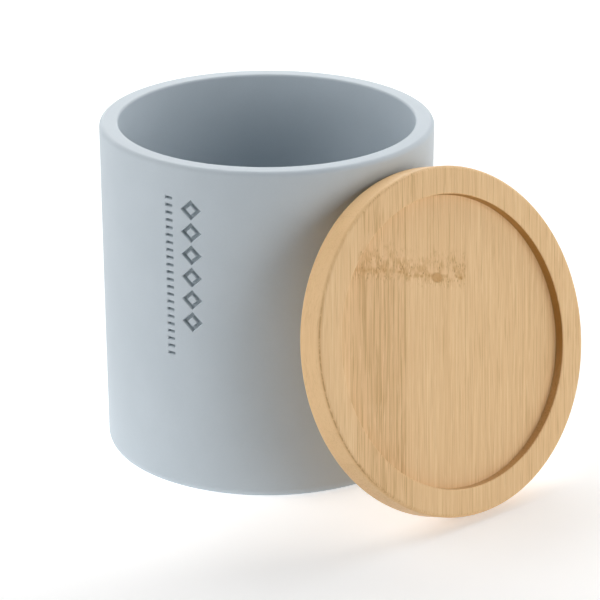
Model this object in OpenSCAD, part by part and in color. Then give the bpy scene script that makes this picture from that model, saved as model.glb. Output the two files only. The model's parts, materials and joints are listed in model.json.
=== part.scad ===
// Cotton jar: a round cast jar that stands open, with its bamboo lid taken off
// and leaning on it. Origin at the centre of the jar's base, +Z up, -Y to the front.

/* [Jar] */
// Outside diameter at the rim
jar_d = 100; // [80:1:140]
// Height to the top of the rim
jar_h = 102; // [85:1:160]
// Thickness of the wall at the rim
wall_t = 5.6; // [3:0.1:9]
// Thickness of the floor
floor_t = 6; // [3:0.5:12]
// How much narrower the outside is at the base, on the radius
draft = 0.8; // [0:0.1:1.5]
// Radius of the rounded edge under the base
base_edge_r = 3; // [0.5:0.25:5]
// Radius of the rounded edge outside the rim
rim_edge_r = 1.5; // [0.3:0.1:2]
// Radius of the rounded edge inside the mouth
mouth_edge_r = 0.7; // [0.3:0.1:1.5]
// Radius of the cove between the inside wall and the floor
cove_r = 4; // [1:0.5:8]

/* [Motif] */
// Direction of the lozenge column from the front, positive to the right
motif_angle = -25; // [-60:1:20]
// Distance from the rim down to the top of both columns
motif_drop = 10; // [5:0.5:20]
// Depth of the sunk marks
motif_depth = 1.1; // [0.3:0.1:1.2]
// Number of lozenges
lozenge_count = 6; // [1:1:7]
// Width of a lozenge around the wall
lozenge_w = 6.4; // [5:0.2:8]
// Height of a lozenge
lozenge_h = 6; // [5:0.2:6.6]
// Distance from one lozenge to the next
lozenge_pitch = 6.9; // [6.7:0.1:9]
// Width of the sunk line
line_w = 1.1; // [0.6:0.1:1.4]
// Number of dashes in the fine column
dash_count = 22; // [1:1:24]
// Length of a dash around the wall
dash_w = 2.4; // [1:0.2:4]
// Height of a dash
dash_h = 0.8; // [0.4:0.1:1.4]
// Distance from one dash to the next
dash_pitch = 2.3; // [1.8:0.1:2.6]
// Gap between the two columns
column_gap = 3; // [2:0.5:6]

/* [Lid] */
// How far the lid stands out past the jar's rim, on the radius
lid_overhang = 0.9; // [-0.5:0.1:3]
// Thickness of the lid's board
lid_t = 9.2; // [6:0.2:14]
// Radius of the board's rounded edges
lid_edge_r = 1.2; // [0.4:0.1:2.5]
// Width of the flat rim around the recess
lid_rim_w = 8.2; // [5:0.2:15]
// Depth of the recess in the top
recess_depth = 3; // [1:0.2:4.5]
// Radius of the recess's rounded mouth
recess_edge_r = 0.4; // [0.1:0.1:0.8]
// Height of the plug under the board that drops into the mouth
plug_h = 3; // [1:0.5:8]
// Play between the plug and the mouth, on the radius
plug_play = 0.5; // [0.2:0.1:1.5]
// Radius of the plug's rounded end
plug_edge_r = 0.6; // [0.2:0.1:0.9]

/* [Leaning] */
// Direction that the lid's top faces, from the front to the right
lid_facing = 41.5; // [0:0.5:90]
// How far the lid leans back from upright
lid_lean = 17.5; // [8:0.5:30]
// Sideways shift of the lid along its own face
lid_shift = 7.8; // [-20:0.1:20]
// Space left between the leaning lid and the jar
lean_gap = 0.2; // [0.1:0.05:0.5]

/* [Hidden] */
$fn = 180;
// Steps in each rounded edge
ARC_STEPS = 8;

rim_r = jar_d / 2;
foot_r = rim_r - draft;
mouth_r = rim_r - wall_t;
outer_edge = min(rim_edge_r, wall_t / 2);
inner_edge = min(mouth_edge_r, wall_t / 2);
// Radius of the outside at height z
function wall_r(z) = rim_r - draft * (1 - z / jar_h);

lid_r = rim_r + lid_overhang;
recess_r = lid_r - lid_rim_w;
plug_r = mouth_r - plug_play;

// Points along an arc of a half section, as [radius, height]
function arc(centre, r, from, to) = [
    for (i = [0:ARC_STEPS])
        let (a = from + (to - from) * i / ARC_STEPS)
        centre + r * [cos(a), sin(a)]
];

// Half sections, from the axis at the bottom round to the axis at the top
jar_rim_path = arc([rim_r - outer_edge, jar_h - outer_edge], outer_edge, 0, 90);
jar_section = concat(
    [[0, 0]],
    arc([foot_r - base_edge_r, base_edge_r], base_edge_r, -90, 0),
    jar_rim_path,
    arc([mouth_r + inner_edge, jar_h - inner_edge], inner_edge, 90, 180),
    arc([mouth_r - cove_r, floor_t + cove_r], cove_r, 0, -90),
    [[0, floor_t]]
);
plug_path = arc([plug_r - plug_edge_r, plug_edge_r - plug_h], plug_edge_r, -90, 0);
board_back_path = arc([lid_r - lid_edge_r, lid_edge_r], lid_edge_r, -90, 0);
lid_section = concat(
    [[0, -plug_h]],
    plug_path,
    [[plug_r, 0]],
    board_back_path,
    arc([lid_r - lid_edge_r, lid_t - lid_edge_r], lid_edge_r, 0, 90),
    arc([recess_r + recess_edge_r, lid_t - recess_edge_r], recess_edge_r, 90, 180),
    [[recess_r, lid_t - recess_depth], [0, lid_t - recess_depth]]
);

// Where the lid leans. Its back is the origin of its own frame. A point of its back half
// section at [radius, height] and turned by t around the lid lies at a height above the
// lid's centre, a sideways place, and a distance behind the centre towards the jar.
back_path = concat(plug_path, board_back_path);
function point_rise(p, t) = p[0] * sin(t) * cos(lid_lean) + p[1] * sin(lid_lean);
function point_side(p, t) = lid_shift + p[0] * cos(t);
function point_behind(p, t) = p[0] * sin(t) * sin(lid_lean) - p[1] * cos(lid_lean);
// Height of the lid's centre with its lowest point on the ground
lid_rise = max([for (p = back_path) -point_rise(p, -90)]);
// Distance of the centre at which an edge of the lid meets the jar's side
edge_meets = [
    for (p = back_path, t = [1:179])
        let (z = lid_rise + point_rise(p, t), side = point_side(p, t))
        if (z < jar_h - outer_edge && abs(side) < wall_r(z))
            sqrt(pow(wall_r(z), 2) - pow(side, 2)) + point_behind(p, t)
];
// Distance of the centre at which a flat of the lid's back meets the jar's rim
function face_meets(r, h) = [
    for (q = jar_rim_path, a = [-90:90])
        let (side = q[0] * sin(a), up = (q[1] - lid_rise - h * sin(lid_lean)) / cos(lid_lean))
        if (pow(side - lid_shift, 2) + pow(up, 2) < r * r)
            q[0] * cos(a) + up * sin(lid_lean) - h * cos(lid_lean)
];
lid_distance = lean_gap + max(concat(edge_meets, face_meets(lid_r, 0), face_meets(plug_r, -plug_h)));

// A mark at a height on the wall, centred on a direction from the front. The block that
// holds it reaches from outside the rim to below the deepest mark on the drafted wall.
module on_wall(angle, z) {
    reach = draft + 2 * motif_depth;
    rotate([0, 0, angle])
        translate([0, reach - rim_r, z])
            rotate([90, 0, 0])
                linear_extrude(reach + motif_depth)
                    children();
}

module lozenge(w, h)
    polygon([[-w / 2, 0], [0, -h / 2], [w / 2, 0], [0, h / 2]]);

// A lozenge drawn as a line: the inner outline lies line_w inside the outer one
module lozenge_line() {
    inset = line_w * sqrt(pow(lozenge_w, 2) + pow(lozenge_h, 2)) / (lozenge_w * lozenge_h);
    difference() {
        lozenge(lozenge_w, lozenge_h);
        lozenge(lozenge_w * (1 - 2 * inset), lozenge_h * (1 - 2 * inset));
    }
}

// The sunk motif: a column of lozenges and, to its left, a fine column of dashes. The core
// taken from the blocks leaves every mark with its floor at the same depth under the wall.
module motif() {
    motif_top = jar_h - motif_drop;
    spacing = (lozenge_w + dash_w) / 2 + column_gap;
    dash_angle = motif_angle - spacing / rim_r * 180 / PI;
    difference() {
        union() {
            for (i = [0:lozenge_count - 1])
                on_wall(motif_angle, motif_top - lozenge_h / 2 - i * lozenge_pitch)
                    lozenge_line();
            for (i = [0:dash_count - 1])
                on_wall(dash_angle, motif_top - dash_h / 2 - i * dash_pitch)
                    square([dash_w, dash_h], center = true);
        }
        cylinder(r1 = foot_r - motif_depth, r2 = rim_r - motif_depth, h = jar_h);
    }
}

module jar()
    color([0.73, 0.77, 0.80])
        difference() {
            rotate_extrude()
                polygon(jar_section);
            motif();
        }

module lid()
    color([0.85, 0.70, 0.50])
        rotate([0, 0, lid_facing])
            translate([lid_shift, -lid_distance, lid_rise])
                rotate([90 - lid_lean, 0, 0])
                    rotate_extrude()
                        polygon(lid_section);

jar();
lid();
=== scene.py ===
"""A round cast cotton jar, open, with its bamboo lid leaning on it.

Both pieces are turned from a half section in mesh code and take the place of their solids.
Lengths are in millimetres unless a name says otherwise, and MM turns them into metres.
"""

import functools
import json
import math

import bmesh
import bpy
from mathutils import Matrix, Vector


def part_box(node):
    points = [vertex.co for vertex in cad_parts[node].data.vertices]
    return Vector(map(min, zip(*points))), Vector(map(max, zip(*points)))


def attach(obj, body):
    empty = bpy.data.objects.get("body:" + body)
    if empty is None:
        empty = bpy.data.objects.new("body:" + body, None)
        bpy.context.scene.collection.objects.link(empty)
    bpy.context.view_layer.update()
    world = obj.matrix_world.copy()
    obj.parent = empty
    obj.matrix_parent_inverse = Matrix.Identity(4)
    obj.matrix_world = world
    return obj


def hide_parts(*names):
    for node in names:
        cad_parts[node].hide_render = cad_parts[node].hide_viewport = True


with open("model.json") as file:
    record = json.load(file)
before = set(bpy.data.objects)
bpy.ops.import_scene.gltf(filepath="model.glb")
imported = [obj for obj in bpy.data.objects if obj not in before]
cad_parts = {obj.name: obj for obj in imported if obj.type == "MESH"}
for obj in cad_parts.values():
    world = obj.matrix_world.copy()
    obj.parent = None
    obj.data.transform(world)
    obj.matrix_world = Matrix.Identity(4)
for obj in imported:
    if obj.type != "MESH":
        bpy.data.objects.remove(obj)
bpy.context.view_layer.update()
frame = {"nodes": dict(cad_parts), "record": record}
MM = 0.001

# Sizes of the jar, from the frame where it has them
jar_low, jar_high = (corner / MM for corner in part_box("jar"))
MOUNTS = {mount["name"]: mount for mount in frame["record"]["mounts"]}
RIM_R = round(jar_high.x, 1)
JAR_H = round(jar_high.z, 1)
MOUTH_R = MOUNTS["mouth"]["dims"]["r_mm"]
DRAFT = 0.8
FLOOR_T = 6.0
BASE_EDGE_R = 3.0
RIM_EDGE_R = 1.5
MOUTH_EDGE_R = 0.7
COVE_R = 4.0

# Sizes of the marks sunk into the wall
MOTIF_ANGLE = -25.0
MOTIF_TOP = JAR_H - 10.0
MOTIF_DEPTH = 1.1
LOZENGE_COUNT = 6
LOZENGE_W = 6.4
LOZENGE_H = 6.0
LOZENGE_PITCH = 6.9
LINE_W = 1.1
DASH_COUNT = 22
DASH_W = 2.4
DASH_H = 0.8
DASH_PITCH = 2.3
COLUMN_GAP = 3.0
# Width of the soft slope at a mark's edge
MARK_SLOPE = 0.22

# Sizes of the lid
LID_R = RIM_R + 0.9
LID_T = 9.2
LID_EDGE_R = 1.2
RECESS_R = LID_R - 8.2
RECESS_DEPTH = 3.0
RECESS_EDGE_R = 0.4
PLUG_R = MOUTH_R - 0.5
PLUG_H = 3.0
PLUG_EDGE_R = 0.6
# Of the inner corners, round the recess's floor and at the plug's root
LID_COVE_R = 0.3
# Where the lid leans, in degrees
LID_FACING = 41.5
LID_LEAN = 17.5

# The grain of the board, turned from the lid's own upright, in degrees
GRAIN_TURN = 14.8
# The glued strips: left edge across the grain, tone, and strength of the dark fibres
STRIPS = (
    (-60.0, 0.62, 0.5),
    (-37.0, 0.36, 1.0),
    (-16.5, 0.60, 0.3),
    (6.5, 0.60, 0.5),
    (29.0, 0.56, 0.6),
)
# The knuckles of the cane: left and right across the grain, the place along it, and how
# much lighter the cane is above it
KNUCKLES = ((-36.9, -16.6, 20.0, 0.12), (-16.4, 6.4, 18.8, -0.10))
# The bigger bud scar: place across and along, and its width and height
KNOT_PLACE = (-4.5, 18.4)
KNOT_SIZE = (4.2, 2.8)
# How far inside the outside radius the dark line of the board's edge lies
EDGE_LINE_IN = 0.35

# Meshes

# Radius of the innermost ring, inside which a fan of triangles meets at the pole
POLE_R = 0.5


def arc(centre, radius, start, end, steps=10):
    """Points along an arc of a half section, as (radius, height)."""
    turns = [math.radians(start + (end - start) * i / steps) for i in range(steps + 1)]
    return [(centre[0] + radius * math.cos(a), centre[1] + radius * math.sin(a)) for a in turns]


def section(stretches, step=4.0, support=0.25):
    """One half section from its arcs and points, with rings added along each straight run:
    one close to each end, which keeps the shading of the rounded edges to themselves."""
    points = []
    for stretch in stretches:
        if points:
            a, b = Vector(points[-1]), Vector(stretch[0])
            run = (b - a).length
            if run > 4 * support:
                count = max(1, round(run / step))
                marks = [support] + [run * i / count for i in range(1, count)] + [run - support]
                points += [tuple(a + (b - a) * mark / run) for mark in marks]
        points += stretch
    return points


def new_piece(name, bm, node, place=Matrix()):
    """A smooth piece that rides on the body and stands for a solid."""
    bmesh.ops.recalc_face_normals(bm, faces=bm.faces)
    mesh = bpy.data.meshes.new(name)
    bm.to_mesh(mesh)
    bm.free()
    mesh.shade_smooth()
    piece = bpy.data.objects.new(name, mesh)
    bpy.context.scene.collection.objects.link(piece)
    piece.matrix_world = place
    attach(piece, "root")
    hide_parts(node)
    return piece


def close_rows(bm, rows, pole_low, pole_high):
    """Quads between rings of the same length, and a fan at each pole."""
    count = len(rows[0])
    for low, high in zip(rows, rows[1:]):
        for i in range(count):
            j = (i + 1) % count
            bm.faces.new((low[i], low[j], high[j], high[i]))
    for pole, ring in ((pole_low, rows[0]), (pole_high, rows[-1])):
        for i in range(count):
            bm.faces.new((pole, ring[i], ring[(i + 1) % count]))


def turned(bm, radius, angle, height):
    """A vertex at an angle in degrees from the front to the right."""
    a = math.radians(angle)
    return bm.verts.new((radius * math.sin(a) * MM, -radius * math.cos(a) * MM, height * MM))


def ring(bm, radius, height, count):
    """A ring of vertices. The first lies to the front, and they run to the right."""
    return [turned(bm, radius, 360 * i / count, height) for i in range(count)]


# The jar

JAR_STEPS = 180
STEP_DEG = 360 / JAR_STEPS
# The window of fine mesh around the marks: whole steps around, and rows one dash apart, so
# that every dash meets the mesh in the same way
WINDOW_STEPS = (-19, -10)
WINDOW_ROW = DASH_PITCH
WINDOW_ROWS = 23
WINDOW_TOP = MOTIF_TOP + DASH_PITCH / 2
WINDOW_FOOT = WINDOW_TOP - WINDOW_ROWS * WINDOW_ROW
FINE = 16


def wall_r(z):
    """Outside radius of the wall at a height."""
    return RIM_R - DRAFT * (1 - z / JAR_H)


def smooth(value, low, high):
    """0 below low, 1 above high, smooth between."""
    t = min(max((value - low) / (high - low), 0), 1)
    return t * t * (3 - 2 * t)


def lozenge_inside(x, z):
    """How far a point lies inside the line of a lozenge, in millimetres."""
    half_w, half_h = LOZENGE_W / 2, LOZENGE_H / 2
    reach = half_w * half_h / math.hypot(half_w, half_h)
    from_edge = (1 - abs(x) / half_w - abs(z) / half_h) * reach
    return LINE_W / 2 - abs(from_edge - LINE_W / 2)


def dash_inside(x, z):
    """How far a point lies inside a dash, in millimetres."""
    return min(DASH_W / 2 - abs(x), DASH_H / 2 - abs(z))


def nearest(z, first, pitch, count):
    """Height of a point above the middle of the nearest mark in a column that runs down."""
    index = min(max(round((first - z) / pitch), 0), count - 1)
    return z - (first - index * pitch)


def mark_depth(angle, z):
    """Depth of the marks at a place on the wall, with the soft edges of a casting."""
    x = math.radians(angle - MOTIF_ANGLE) * RIM_R
    spacing = (LOZENGE_W + DASH_W) / 2 + COLUMN_GAP
    lozenge_z = nearest(z, MOTIF_TOP - LOZENGE_H / 2, LOZENGE_PITCH, LOZENGE_COUNT)
    dash_z = nearest(z, MOTIF_TOP - DASH_H / 2, DASH_PITCH, DASH_COUNT)
    inside = max(lozenge_inside(x, lozenge_z), dash_inside(x + spacing, dash_z))
    return MOTIF_DEPTH * smooth(inside, -MARK_SLOPE / 3, MARK_SLOPE * 2 / 3)


def build_jar():
    """The casting, with a coarse mesh all round and a fine one in the window of the marks."""
    bm = bmesh.new()
    base_edge = arc((RIM_R - DRAFT - BASE_EDGE_R, BASE_EDGE_R), BASE_EDGE_R, -90, 0)
    foot = section([[(POLE_R, 0)], base_edge])
    inside = section([
        arc((RIM_R - RIM_EDGE_R, JAR_H - RIM_EDGE_R), RIM_EDGE_R, 0, 90),
        arc((MOUTH_R + MOUTH_EDGE_R, JAR_H - MOUTH_EDGE_R), MOUTH_EDGE_R, 90, 180),
        arc((MOUTH_R - COVE_R, FLOOR_T + COVE_R), COVE_R, 0, -90),
        [(POLE_R, FLOOR_T)],
    ])
    below = section([[foot[-1]], [(wall_r(WINDOW_FOOT), WINDOW_FOOT)]])[1:-1]
    above = section([[(wall_r(WINDOW_TOP), WINDOW_TOP)], [inside[0]]])[1:-1]
    heights = [WINDOW_FOOT + WINDOW_ROW * i for i in range(WINDOW_ROWS + 1)]
    window = [(wall_r(z), z) for z in heights]
    profile = foot + below + window + above + inside
    first_row = len(foot) + len(below)
    last_row = first_row + WINDOW_ROWS

    fine = {}
    columns = (WINDOW_STEPS[1] - WINDOW_STEPS[0]) * FINE
    for row in range(WINDOW_ROWS * FINE + 1):
        z = WINDOW_FOOT + row * WINDOW_ROW / FINE
        for column in range(columns + 1):
            angle = (WINDOW_STEPS[0] + column / FINE) * STEP_DEG
            fine[column, row] = turned(bm, wall_r(z) - mark_depth(angle, z), angle, z)

    def fine_place(step, row):
        """The fine place of a coarse vertex, or None outside the window."""
        column = (step + JAR_STEPS // 2) % JAR_STEPS - JAR_STEPS // 2 - WINDOW_STEPS[0]
        inside_window = 0 <= column <= columns // FINE and first_row <= row <= last_row
        return (column * FINE, (row - first_row) * FINE) if inside_window else None

    coarse = {}
    for row, (radius, z) in enumerate(profile):
        for step in range(JAR_STEPS):
            place = fine_place(step, row)
            coarse[step, row] = fine[place] if place else turned(bm, radius, step * STEP_DEG, z)

    def along(a, b):
        """The vertices from one corner up to the next, with fine ones along the window's edge."""
        start, end = fine_place(*a), fine_place(*b)
        if not start or not end:
            return [coarse[a]]
        step = [(e > s) - (e < s) for s, e in zip(start, end)]
        return [fine[start[0] + step[0] * i, start[1] + step[1] * i] for i in range(FINE)]

    for row in range(len(profile) - 1):
        for step in range(JAR_STEPS):
            after = (step + 1) % JAR_STEPS
            corners = [(step, row), (after, row), (after, row + 1), (step, row + 1)]
            if all(fine_place(*corner) for corner in corners):
                continue
            loop = [along(a, b) for a, b in zip(corners, corners[1:] + corners[:1])]
            bm.faces.new([vertex for part in loop for vertex in part])
    for row in range(WINDOW_ROWS * FINE):
        for column in range(columns):
            corners = ((column, row), (column + 1, row), (column + 1, row + 1), (column, row + 1))
            bm.faces.new([fine[corner] for corner in corners])
    for row, z in ((0, 0), (len(profile) - 1, FLOOR_T)):
        pole = bm.verts.new((0, 0, z * MM))
        for step in range(JAR_STEPS):
            bm.faces.new((pole, coarse[step, row], coarse[(step + 1) % JAR_STEPS, row]))
    return new_piece("jar_cast", bm, "jar")


# The lid

LID_STEPS = 288


def lid_place():
    """The lid's own frame: its back's centre, with +Z out of its top and +Y up its face."""
    facing, lean = math.radians(LID_FACING), math.radians(LID_LEAN)
    out = Vector((math.cos(lean) * math.sin(facing), -math.cos(lean) * math.cos(facing), math.sin(lean)))
    side = Vector((math.cos(facing), math.sin(facing), 0))
    up = out.cross(side)
    corners = [vertex.co for vertex in frame["nodes"]["lid"].data.vertices]

    def span(direction):
        reach = [corner.dot(direction) for corner in corners]
        return min(reach), max(reach)

    centre = side * sum(span(side)) / 2 + up * sum(span(up)) / 2 + out * (span(out)[1] - LID_T * MM)
    turn = Matrix((side, up, out)).transposed().to_4x4()
    return Matrix.Translation(centre) @ turn


def build_lid():
    """The turned board, from its plug's end round to the floor of its recess."""
    bm = bmesh.new()
    profile = section([
        [(POLE_R, -PLUG_H)],
        arc((PLUG_R - PLUG_EDGE_R, PLUG_EDGE_R - PLUG_H), PLUG_EDGE_R, -90, 0, 6),
        arc((PLUG_R + LID_COVE_R, -LID_COVE_R), LID_COVE_R, 180, 90, 4),
        arc((LID_R - LID_EDGE_R, LID_EDGE_R), LID_EDGE_R, -90, 0),
        arc((LID_R - LID_EDGE_R, LID_T - LID_EDGE_R), LID_EDGE_R, 0, 90),
        arc((RECESS_R + RECESS_EDGE_R, LID_T - RECESS_EDGE_R), RECESS_EDGE_R, 90, 180, 6),
        arc((RECESS_R - LID_COVE_R, LID_T - RECESS_DEPTH + LID_COVE_R), LID_COVE_R, 0, -90, 4),
        [(POLE_R, LID_T - RECESS_DEPTH)],
    ])
    rows = [ring(bm, radius, z, LID_STEPS) for radius, z in profile]
    poles = [bm.verts.new((0, 0, z * MM)) for z in (-PLUG_H, LID_T - RECESS_DEPTH)]
    close_rows(bm, rows, *poles)
    return new_piece("lid_board", bm, "lid", lid_place())


# Materials


class Shader:
    """A node material, with short calls that return the socket that each node gives."""

    def __init__(self, name):
        self.material = bpy.data.materials.new(name)
        self.material.use_nodes = True
        self.tree = self.material.node_tree
        self.tree.nodes.clear()

    def node(self, kind, inputs=(), out=0, **settings):
        node = self.tree.nodes.new("ShaderNode" + kind)
        for key, value in settings.items():
            setattr(node, key, value)
        for key, value in dict(inputs).items():
            if isinstance(value, bpy.types.NodeSocket):
                self.tree.links.new(value, node.inputs[key])
            else:
                node.inputs[key].default_value = value
        return node.outputs[out]

    def math(self, operation, *values):
        return self.node("Math", enumerate(values), operation=operation)

    def plus(self, *values):
        return functools.reduce(lambda a, b: self.math("ADD", a, b), values)

    def times(self, *values):
        return functools.reduce(lambda a, b: self.math("MULTIPLY", a, b), values)

    def minus(self, a, b):
        return self.math("SUBTRACT", a, b)

    def apart(self, a, b):
        """How far two values lie apart."""
        return self.math("ABSOLUTE", self.minus(a, b))

    def over(self, a, b):
        return self.math("DIVIDE", a, b)

    def length(self, a, b):
        return self.math("SQRT", self.plus(self.times(a, a), self.times(b, b)))

    def signed(self, value, strength):
        """A noise value made to swing about zero."""
        return self.times(self.minus(value, 0.5), strength)

    def scaled(self, vector, factor):
        return self.node("VectorMath", {0: vector, 3: factor}, operation="SCALE")

    def vector(self, x, y, z):
        return self.node("CombineXYZ", {"X": x, "Y": y, "Z": z})

    def split(self, vector):
        return self.node("SeparateXYZ", {0: vector}).node.outputs

    def noise(self, vector, detail=2.0, rough=0.5):
        inputs = {"Vector": vector, "Scale": 1.0, "Detail": detail, "Roughness": rough}
        return self.node("TexNoise", inputs, normalize=True)

    def ramp(self, value, low, high):
        """0 below low, 1 above high, smooth between. Low may be above high."""
        inputs = {"Value": value, "From Min": low, "From Max": high}
        return self.node("MapRange", inputs, interpolation_type="SMOOTHSTEP")

    def mix(self, factor, a, b):
        return self.node("Mix", {0: factor, 6: a, 7: b}, out=2, data_type="RGBA")

    def surface(self, shader):
        output = self.tree.nodes.new("ShaderNodeOutputMaterial")
        self.tree.links.new(shader, output.inputs["Surface"])
        return self.material


# How deep the floors of the marks start to take their painted shade, and where they have all of it
MARK_DEPTHS = (0.2, 0.8)
# Heights between which the marks get their painted shade, each with its soft edge
MARK_BAND_FOOT = (20.0, 25.0)
MARK_BAND_TOP = (JAR_H - 4.0, JAR_H - 6.0)
RESIN_COLOUR = (0.562, 0.628, 0.680, 1)
RESIN_DARK = (0.537, 0.604, 0.655, 1)
# Colour of the painted shade on the floors of the marks
RESIN_PAINTED_SHADE = (0.20, 0.25, 0.27, 1)
# How far the floors of the marks go towards the colour of their painted shade
MARK_PAINTED_SHADE = 0.45


def marked(s, place):
    """1 on the floors of the marks, 0 on the wall around them; it places their painted shade."""
    x, y, z = s.split(place)
    wall = s.plus(RIM_R - DRAFT, s.times(z, DRAFT / JAR_H))
    sunk = s.ramp(s.minus(wall, s.length(x, y)), *MARK_DEPTHS)
    band = s.times(s.ramp(z, *MARK_BAND_FOOT), s.ramp(z, *MARK_BAND_TOP))
    outside = s.math("GREATER_THAN", s.length(x, y), RIM_R - 3.0)
    return s.times(sunk, band, outside)


def cast_resin():
    """Matte blue-grey casting: faint clouds of tone, a very fine grain, a soft sheen, and
    painted shade in the sunk marks.
    """
    s = Shader("cast_resin")
    place = s.scaled(s.node("TexCoord", out=3), 1 / MM)
    clouds = s.noise(s.scaled(place, 0.06), 3)
    grain = s.noise(s.scaled(place, 1.6), 2, 0.6)
    waves = s.noise(s.scaled(place, 0.05), 1)
    tone = s.plus(s.times(clouds, 0.7), s.times(grain, 0.3))
    colour = s.mix(s.ramp(tone, 0.3, 0.7), RESIN_DARK, RESIN_COLOUR)
    # Painted shade: the floors of the sunk marks are darkened towards the shade colour
    colour = s.mix(s.times(marked(s, place), MARK_PAINTED_SHADE), colour, RESIN_PAINTED_SHADE)
    height = s.plus(s.times(grain, 0.010 * MM), s.times(waves, 0.10 * MM))
    bump = s.node("Bump", {"Height": height, "Strength": 1.0, "Distance": 1.0})
    rough = s.plus(s.times(grain, 0.12), 0.50)
    inputs = {"Base Color": colour, "Roughness": rough, "Normal": bump, "Specular IOR Level": 0.38}
    return s.surface(s.node("BsdfPrincipled", inputs))


# Tone of the board's side, how much darker it is, and how much quieter its figure
SIDE_TONE = 0.62
SIDE_DARKER = 0.18
SIDE_QUIETER = 0.65
CANE_LIGHT = (0.957, 0.675, 0.372, 1)
CANE_MID = (0.855, 0.562, 0.281, 1)
CANE_DARK = (0.608, 0.359, 0.144, 1)
CANE_STAIN = (0.58, 0.300, 0.090, 1)
CANE_FLECK = (0.34, 0.145, 0.015, 1)
# Dark brown of the recess's wall: the cutter's scorch together with painted shade in the recess
SCORCH_AND_SHADE = (0.387, 0.177, 0.019, 1)
# How much of the stain and of the flecks shows
STAIN_SHARE = 0.75
FLECK_SHARE = 0.60
# How far the recess's wall goes to its dark brown, the cutter's scorch with painted shade, at the foot
# of the board, how much more at its head, and where along the grain it changes
SCORCH_AND_SHADE_FOOT = 0.40
SCORCH_AND_SHADE_MORE = 0.44
SCORCH_AND_SHADE_RISE = (-16.0, 4.0)
# What each strip adds to the seed of its fibres
STRIP_SEED = 37.3


def board_place(s):
    """Places on the board in millimetres: its own, and turned to lie across and along the grain."""
    place = s.node("TexCoord", out=3)
    turn = {"Vector": place, "Rotation": (0, 0, math.radians(GRAIN_TURN)), "Scale": (1 / MM,) * 3}
    own = s.split(s.scaled(place, 1 / MM))
    across, along, depth = s.split(s.node("Mapping", turn))
    return s.length(own[0], own[1]), across, along, depth


def strips(s, across):
    """The glued strips: tone, share of dark fibres, a number of its own for each, and the joints."""
    tone, crowd, seed, joint = STRIPS[0][1], STRIPS[0][2], 0.0, 0.0
    for (_, tone_before, crowd_before), (edge, tone_here, crowd_here) in zip(STRIPS, STRIPS[1:]):
        past = s.math("GREATER_THAN", across, edge)
        tone = s.plus(tone, s.times(past, tone_here - tone_before))
        crowd = s.plus(crowd, s.times(past, crowd_here - crowd_before))
        seed = s.plus(seed, s.times(past, STRIP_SEED))
        joint = s.plus(joint, s.ramp(s.apart(across, edge), 0.16, 0.05))
    return tone, crowd, seed, joint


def knuckles(s, across, along):
    """The knuckles of the cane: how strongly each place is stained, how near it is, and how much
    lighter it lies above."""
    stain, near, above = 0.0, 0.0, 0.0
    ragged = s.noise(s.vector(s.times(across, 0.35), 3.0, 0.0), 3, 0.6)
    broken = s.noise(s.vector(s.times(across, 1.1), s.times(along, 0.5), 7.0), 2)
    patchy = s.ramp(s.noise(s.vector(s.times(across, 0.28), s.times(along, 0.22), 63.0)), 0.36, 0.60)
    for left, right, height, lighter in KNUCKLES:
        middle, half = (left + right) / 2, (right - left) / 2
        inside = s.ramp(s.apart(across, middle), half + 0.1, half - 0.1)
        off = s.plus(s.minus(along, height), s.signed(ragged, 3.0))
        line = s.times(s.ramp(s.apart(off, 0.0), 0.8, 0.2), s.ramp(broken, 0.42, 0.62), 0.6)
        halo = s.times(s.ramp(off, -3.5, 0.5), s.ramp(off, 9.0, 1.0), s.ramp(broken, 0.2, 0.7))
        halo = s.times(halo, patchy, 0.8)
        stain = s.plus(stain, s.times(s.plus(line, halo), inside))
        close = s.times(s.ramp(off, -5.0, -0.5), s.ramp(off, 10.0, 2.0))
        near = s.plus(near, s.times(close, s.plus(0.25, s.times(patchy, 0.75)), inside))
        above = s.plus(above, s.times(s.ramp(off, 0.0, 2.0), inside, lighter))
    return stain, near, above


def knot(s, across, along):
    """The bigger bud scar on one knuckle: a brown oval with a darker, broken outline."""
    x = s.over(s.minus(across, KNOT_PLACE[0]), KNOT_SIZE[0] / 2)
    y = s.over(s.minus(along, KNOT_PLACE[1]), KNOT_SIZE[1] / 2)
    ragged = s.noise(s.vector(across, along, 31.0), 2)
    reach = s.plus(s.length(x, y), s.signed(ragged, 0.8))
    fill = s.ramp(reach, 1.15, 0.8)
    outline = s.times(s.ramp(s.apart(reach, 1.0), 0.30, 0.05), s.ramp(ragged, 0.42, 0.55))
    return fill, outline


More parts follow.
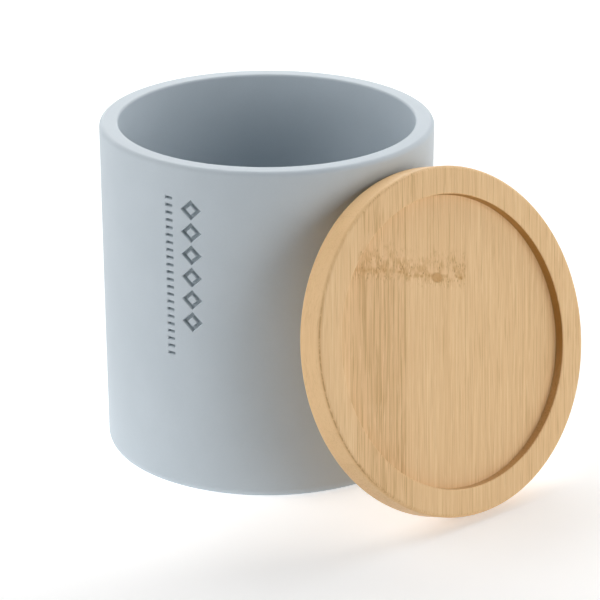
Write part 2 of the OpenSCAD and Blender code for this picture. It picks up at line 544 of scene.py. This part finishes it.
def bamboo():
    """Laminated bamboo: glued strips, each with its own tone and fibres along the grain, two
    knuckles with their dots, and the wall of the turned recess, scorched and given painted shade."""
    s = Shader("bamboo")
    radius, across, along, depth = board_place(s)
    strip_tone, crowd, seed, joint = strips(s, across)
    stain, near, above = knuckles(s, across, along)
    knot_fill, knot_outline = knot(s, across, along)

    wander = s.noise(s.vector(s.times(across, 0.2), s.times(along, 0.06), seed))
    lane = s.plus(across, s.signed(wander, 0.9))

    def fibres(width, length, number, detail=2, rough=0.5):
        x = s.plus(s.over(lane, width), number)
        y = s.plus(s.over(along, length), seed)
        return s.noise(s.vector(x, y, s.over(depth, width * 1.5)), detail, rough)

    fine = fibres(0.28, 26.0, 11.0, 2, 0.6)
    medium = fibres(0.80, 50.0, 23.0)
    bands = fibres(4.5, 150.0, 3.0)
    short = fibres(0.38, 2.0, 29.0)
    dark_line = s.times(s.ramp(fibres(0.36, 15.0, 53.0), 0.56, 0.67), crowd)
    pale_line = s.times(s.ramp(fibres(0.36, 9.0, 71.0), 0.58, 0.70), 0.6)
    rough_zone = s.times(near, s.signed(short, 3.2))

    side = s.ramp(radius, LID_R - 0.45, LID_R - 0.25)
    quiet = s.minus(1.0, s.times(side, SIDE_QUIETER))
    swing = s.plus(s.signed(fine, 1.45), s.signed(medium, 0.6), rough_zone)
    strip_swing = s.times(s.minus(strip_tone, SIDE_TONE), s.minus(1.0, s.times(side, 0.8)))
    tone = s.plus(SIDE_TONE, strip_swing, s.signed(bands, 0.22), s.times(swing, quiet), above)
    tone = s.minus(tone, s.times(side, SIDE_DARKER))
    colour = s.mix(s.ramp(tone, 0.0, 0.5), CANE_DARK, CANE_MID)
    colour = s.mix(s.ramp(tone, 0.5, 1.0), colour, CANE_LIGHT)
    colour = s.mix(s.times(pale_line, quiet), colour, CANE_LIGHT)
    colour = s.mix(s.times(dark_line, quiet, 0.75), colour, CANE_DARK)
    colour = s.mix(s.times(joint, quiet, 0.35), colour, CANE_DARK)
    colour = s.mix(s.times(stain, STAIN_SHARE), colour, CANE_STAIN)
    colour = s.mix(s.times(knot_fill, STAIN_SHARE), colour, CANE_STAIN)

    spots = s.vector(s.times(lane, 1.25), s.times(along, 0.8), 0.0)
    cells = s.node("TexVoronoi", {"Vector": spots, "Scale": 1.0})
    chosen = s.ramp(s.noise(s.vector(s.times(across, 0.3), s.times(along, 0.3), 19.0)), 0.46, 0.56)
    dots = s.times(s.ramp(cells, 0.36, 0.16), chosen, near)
    fleck = s.math("MAXIMUM", dots, s.times(knot_outline, 0.6))
    colour = s.mix(s.times(fleck, FLECK_SHARE), colour, CANE_FLECK)

    # Recess wall: the cutter's scorch together with painted shade; and the dark line along the board's
    # edge
    upper = s.math("GREATER_THAN", depth, LID_T / 2)
    wall = s.ramp(s.apart(radius, RECESS_R - 0.05), 0.25, 0.05)
    below_mouth = s.ramp(depth, LID_T - 0.15, LID_T - 0.35)
    scorch_and_shade = s.plus(SCORCH_AND_SHADE_FOOT, s.times(s.ramp(along, *SCORCH_AND_SHADE_RISE), SCORCH_AND_SHADE_MORE))
    # Painted shade, together with the cutter's scorch, on the wall of the recess
    colour = s.mix(s.times(wall, below_mouth, upper, scorch_and_shade), colour, SCORCH_AND_SHADE)
    # A dark line along the board's edge, broken up by noise and kept to the lower left of the board
    edge = s.ramp(s.apart(radius, LID_R - EDGE_LINE_IN), 0.22, 0.05)
    edge = s.times(edge, s.ramp(across, -24.0, -38.0), s.ramp(along, 16.0, 2.0))
    edge_line_patches = s.ramp(s.noise(s.vector(s.times(across, 0.5), s.times(along, 0.5), 43.0), 3, 0.7), 0.32, 0.55)
    colour = s.mix(s.times(edge, edge_line_patches, upper, 0.5), colour, CANE_FLECK)

    sunk = s.plus(s.times(dark_line, 0.02), s.times(joint, 0.02), s.times(fleck, 0.03))
    bump = s.node("Bump", {"Height": s.times(sunk, -MM), "Strength": 1.0, "Distance": 1.0})
    rough = s.plus(0.46, s.times(dark_line, 0.15))
    inputs = {"Base Color": colour, "Roughness": rough, "Normal": bump, "Specular IOR Level": 0.35}
    return s.surface(s.node("BsdfPrincipled", inputs))


# Stage, lights and camera

FLOOR_COLOUR = (0.92, 0.92, 0.92, 1)
# The table glows a little under and around the object, as a lit product table does: middle
# and radius of each spot in millimetres, and radiance
TABLE_GLOWS = (((0, 0), 120, 0.24), ((-60, -40), 90, 0.23))
# What the camera sees of the floor on top of that, which brings it close to white
FLOOR_GLOW = 0.25
# Half the floor's width, in metres
FLOOR_REACH = 6.0
WORLD_LIGHT = 0.0
# The panels of a light tent: direction from the front to the right and height in degrees,
# width and height in millimetres, and radiance
PANELS = {
    "left_front": (300, 12, 600, 600, 2.20),
    "left": (272, 20, 600, 700, 1.62),
    "left_high": (280, 48, 600, 500, 2.30),
    "left_low": (285, 5, 500, 350, 1.30),
    "front_right": (45, 12, 600, 600, 2.32),
    "right_near": (62, 15, 400, 600, 2.05),
    "right": (80, 20, 600, 700, 1.15),
    "back_right": (130, 25, 700, 600, 1.60),
    "back_right_high": (130, 55, 700, 500, 2.20),
    "back": (190, 22, 900, 600, 2.30),
    "back_high": (190, 55, 900, 500, 2.66),
}
PANEL_TARGET = (20, -10, 50)
PANEL_DISTANCE = 1100
# The camera, found from the outlines in the photograph: place in millimetres, turn to the
# right and tilt down in degrees, and focal length in pixels
CAMERA_PLACE = (16.4, -867.3, 382.8)
CAMERA_YAW = -0.43
CAMERA_PITCH = 21.344
FOCAL_PX = 3050.5
IMAGE_PX = 600
SENSOR_MM = 36.0


def seen_ray(tree):
    """1 for what the camera sees, also through gloss and glass."""
    rays = tree.nodes.new("ShaderNodeLightPath")
    total = rays.outputs["Is Camera Ray"]
    for name in ("Is Glossy Ray", "Is Transmission Ray"):
        add = tree.nodes.new("ShaderNodeMath")
        add.operation = "MAXIMUM"
        tree.links.new(total, add.inputs[0])
        tree.links.new(rays.outputs[name], add.inputs[1])
        total = add.outputs[0]
    return total


def build_floor():
    """A pale floor with the spots of a lit table."""
    s = Shader("floor_white")
    place = s.split(s.scaled(s.node("TexCoord", out=3), 1 / MM))
    strength = s.times(seen_ray(s.tree), FLOOR_GLOW)
    for middle, radius, radiance in TABLE_GLOWS:
        away = s.length(s.minus(place[0], middle[0]), s.minus(place[1], middle[1]))
        strength = s.plus(strength, s.times(s.ramp(away, radius, radius / 3), radiance))
    diffuse = s.node("BsdfDiffuse", {"Color": FLOOR_COLOUR})
    glow = s.node("Emission", {"Color": (1, 1, 1, 1), "Strength": strength})
    material = s.surface(s.node("AddShader", {0: diffuse, 1: glow}))
    mesh = bpy.data.meshes.new("floor")
    corners = [(x * FLOOR_REACH, y * FLOOR_REACH, 0) for x, y in ((-1, -1), (1, -1), (1, 1), (-1, 1))]
    mesh.from_pydata(corners, [], [(0, 1, 2, 3)])
    mesh.materials.append(material)
    floor = bpy.data.objects.new("floor", mesh)
    bpy.context.scene.collection.objects.link(floor)


def build_world():
    """A background that is white to the camera and gives WORLD_LIGHT to the object."""
    world = bpy.data.worlds.new("studio")
    world.use_nodes = True
    bpy.context.scene.world = world
    background = world.node_tree.nodes["Background"]
    background.inputs["Color"].default_value = (1, 1, 1, 1)
    strength = world.node_tree.nodes.new("ShaderNodeMapRange")
    strength.inputs["To Min"].default_value = WORLD_LIGHT
    strength.inputs["To Max"].default_value = 1.0
    world.node_tree.links.new(seen_ray(world.node_tree), strength.inputs["Value"])
    world.node_tree.links.new(strength.outputs[0], background.inputs["Strength"])


def build_panels():
    """The panels of the light tent, all facing the object."""
    for name, (azimuth, elevation, width, height, radiance) in PANELS.items():
        light = bpy.data.lights.new("panel_" + name, "AREA")
        light.shape = "RECTANGLE"
        light.size = width * MM
        light.size_y = height * MM
        light.energy = radiance * light.size * light.size_y * math.pi
        turn, rise = math.radians(azimuth), math.radians(elevation)
        away = Vector((math.sin(turn), -math.cos(turn), 0)) * math.cos(rise)
        away.z = math.sin(rise)
        panel = bpy.data.objects.new(light.name, light)
        panel.location = (Vector(PANEL_TARGET) + away * PANEL_DISTANCE) * MM
        panel.rotation_euler = away.to_track_quat("Z", "Y").to_euler()
        bpy.context.scene.collection.objects.link(panel)


def build_camera():
    """The camera at the photograph's place and angle."""
    camera = bpy.data.objects.new("camera", bpy.data.cameras.new("camera"))
    camera.data.sensor_width = SENSOR_MM
    camera.data.lens = FOCAL_PX * camera.data.sensor_width / IMAGE_PX
    camera.location = Vector(CAMERA_PLACE) * MM
    camera.rotation_euler = (math.radians(90 - CAMERA_PITCH), 0, math.radians(-CAMERA_YAW))
    bpy.context.scene.collection.objects.link(camera)
    bpy.context.scene.camera = camera


jar = build_jar()
jar.data.materials.append(cast_resin())
lid = build_lid()
lid.data.materials.append(bamboo())
build_floor()
build_world()
build_panels()
build_camera()
bpy.context.scene.view_settings.view_transform = "Standard"
